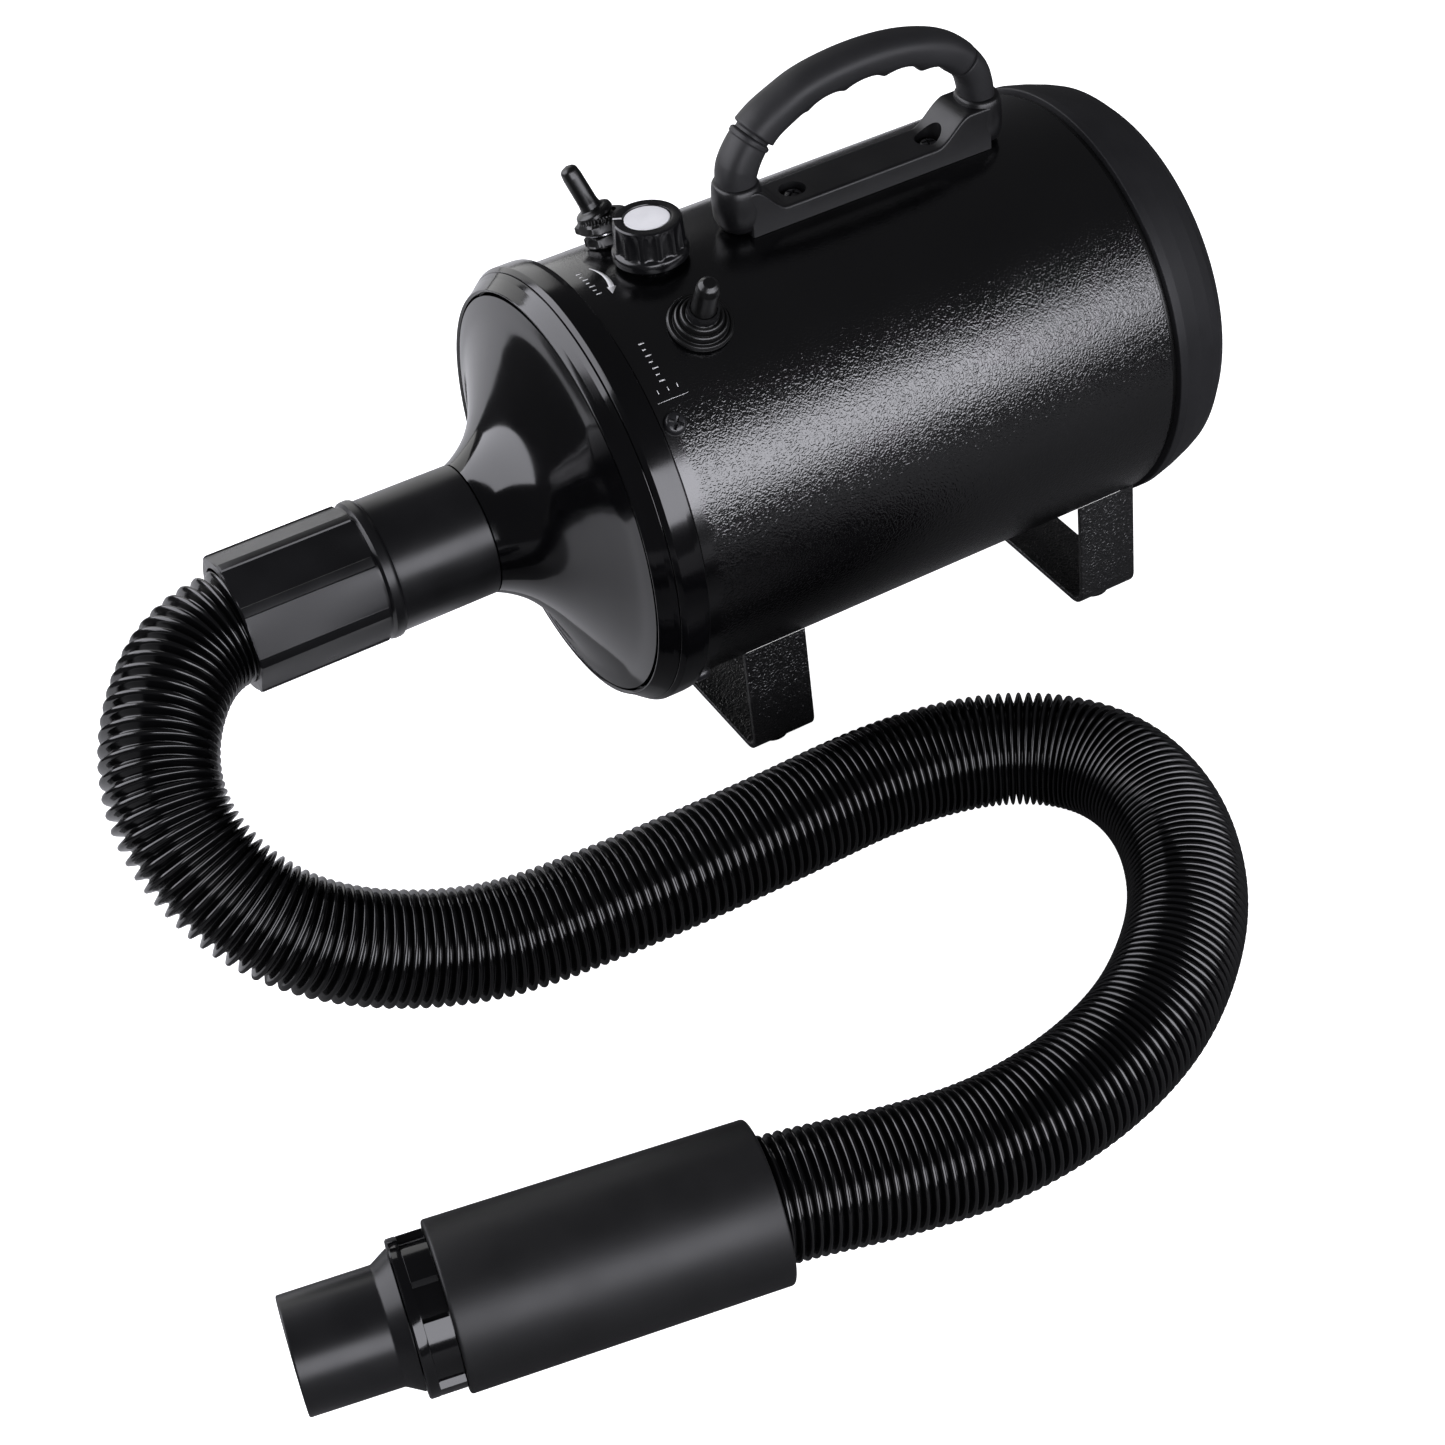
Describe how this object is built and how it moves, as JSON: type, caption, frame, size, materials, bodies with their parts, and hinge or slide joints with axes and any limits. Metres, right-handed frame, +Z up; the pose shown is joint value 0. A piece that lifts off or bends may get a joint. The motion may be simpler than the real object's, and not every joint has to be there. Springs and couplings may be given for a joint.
{
  "type": "pet dryer",
  "caption": "Barrel-shaped pet hair blower with a carrying handle, speed knob, toggle switches and a corrugated hose ending in a foam grip and nozzle.",
  "frame": {"origin": "on the floor under the middle of the dryer's length, on the barrel's vertical middle plane", "axes": "+Z up, the barrel's axis along Y with the nose and hose spigot towards -Y and the rear intake towards +Y, +X to the side where the hose lies"},
  "size_m": [0.377, 0.4748, 0.2438],
  "materials": {
    "crinkle_coat": "black crinkle powder coat",
    "gloss_coat": "gloss black enamel",
    "gloss_plastic": "polished black",
    "satin_plastic": "satin black",
    "handle_plastic": "fine matt black",
    "soft_touch": "soft-touch matt black",
    "black_rubber": "matt black",
    "black_screw": "black oxide",
    "bright_metal": "bright nickel plate",
    "knob_aluminium": "spun aluminium",
    "white_mark": "white paint",
    "inner_steel": "plain sheet",
    "copper_winding": "varnished winding",
    "fan_aluminium": "pressed",
    "mica": "matt sheet",
    "circuit_board": "green board",
    "hose_plastic": "semi-gloss black corrugated",
    "foam": "matt black foam"
  },
  "bodies": {
    "root": {"body_shell": "crinkle_coat", "front_collar": "gloss_coat", "bezel_ring": "gloss_plastic", "nose_cone": "gloss_plastic", "rear_seal": "black_rubber", "side_screw_1": "black_screw", "side_screw_2": "black_screw", "side_screw_3": "black_screw", "side_screw_4": "black_screw", "mains_gland": "satin_plastic", "gland_nut": "satin_plastic", "foot_bracket_front": "crinkle_coat", "foot_bracket_rear": "crinkle_coat", "foot_bumper_front_left": "black_rubber", "foot_bumper_front_right": "black_rubber", "foot_bumper_rear_left": "black_rubber", "foot_bumper_rear_right": "black_rubber", "handle_rail": "handle_plastic", "handle_post_front": "handle_plastic", "handle_grip": "soft_touch", "handle_post_rear": "handle_plastic", "handle_screw_1": "black_screw", "handle_screw_2": "black_screw", "pot_body": "inner_steel", "pot_washer": "bright_metal", "pot_nut": "inner_steel", "heat_switch_body": "satin_plastic", "heat_boot_nut": "black_rubber", "power_switch_body": "satin_plastic", "power_boot_nut": "black_rubber", "power_switch_nut": "black_rubber", "power_switch_washer": "bright_metal", "fan_housing": "inner_steel", "motor_frame": "inner_steel", "motor_stator": "inner_steel", "motor_mount_front": "black_rubber", "motor_mount_rear": "black_rubber", "bulkhead": "inner_steel", "heater_frame": "mica", "heater_coil": "inner_steel", "thermal_cutout": "inner_steel", "control_board": "circuit_board"},
    "fan": {"motor_rotor": "copper_winding", "fan_impeller": "fan_aluminium"},
    "knob": {"speed_knob": "gloss_plastic", "knob_cap": "knob_aluminium", "knob_pointer": "white_mark", "pot_shaft": "inner_steel"},
    "heat_toggle": {"heat_lever": "inner_steel", "heat_lever_sleeve": "black_rubber"},
    "power_toggle": {"power_lever": "inner_steel", "power_lever_sleeve": "black_rubber"},
    "rear_cap": {"rear_cover": "satin_plastic", "air_filter": "foam"},
    "hose_line": {"hose_cuff": "gloss_plastic", "hose": "hose_plastic", "grip_sleeve": "foam", "end_ring": "gloss_plastic"},
    "nozzle_end": {"nozzle": "gloss_plastic"}
  },
  "joints": [
    {"name": "fan_spin", "type": "hinge", "parent": "root", "child": "fan", "pos_m": [0, 0, 0.11], "axis": [0, 1, 0], "continuous": true},
    {"name": "knob_turn", "type": "hinge", "parent": "root", "child": "knob", "pos_m": [0, -0.0446, 0.2], "axis": [0, 0, 1], "range_deg": [-40, 240]},
    {"name": "heat_flip", "type": "hinge", "parent": "root", "child": "heat_toggle", "pos_m": [0.03507, -0.046, 0.1819], "axis": [0.8988, 0, -0.4384], "range_deg": [-13, 13]},
    {"name": "power_flip", "type": "hinge", "parent": "root", "child": "power_toggle", "pos_m": [-0.02735, -0.05, 0.18942], "axis": [0.9455, 0, 0.3256], "range_deg": [-30, 0]},
    {"name": "cover_off", "type": "slide", "parent": "root", "child": "rear_cap", "axis": [0, 1, 0], "range_m": [0, 0.04]},
    {"name": "hose_off", "type": "slide", "parent": "root", "child": "hose_line", "axis": [0, -1, 0], "range_m": [0, 0.035]},
    {"name": "nozzle_off", "type": "slide", "parent": "hose_line", "child": "nozzle_end", "axis": [-0.1908, -0.9816, 0], "range_m": [0, 0.024]}
  ]
}
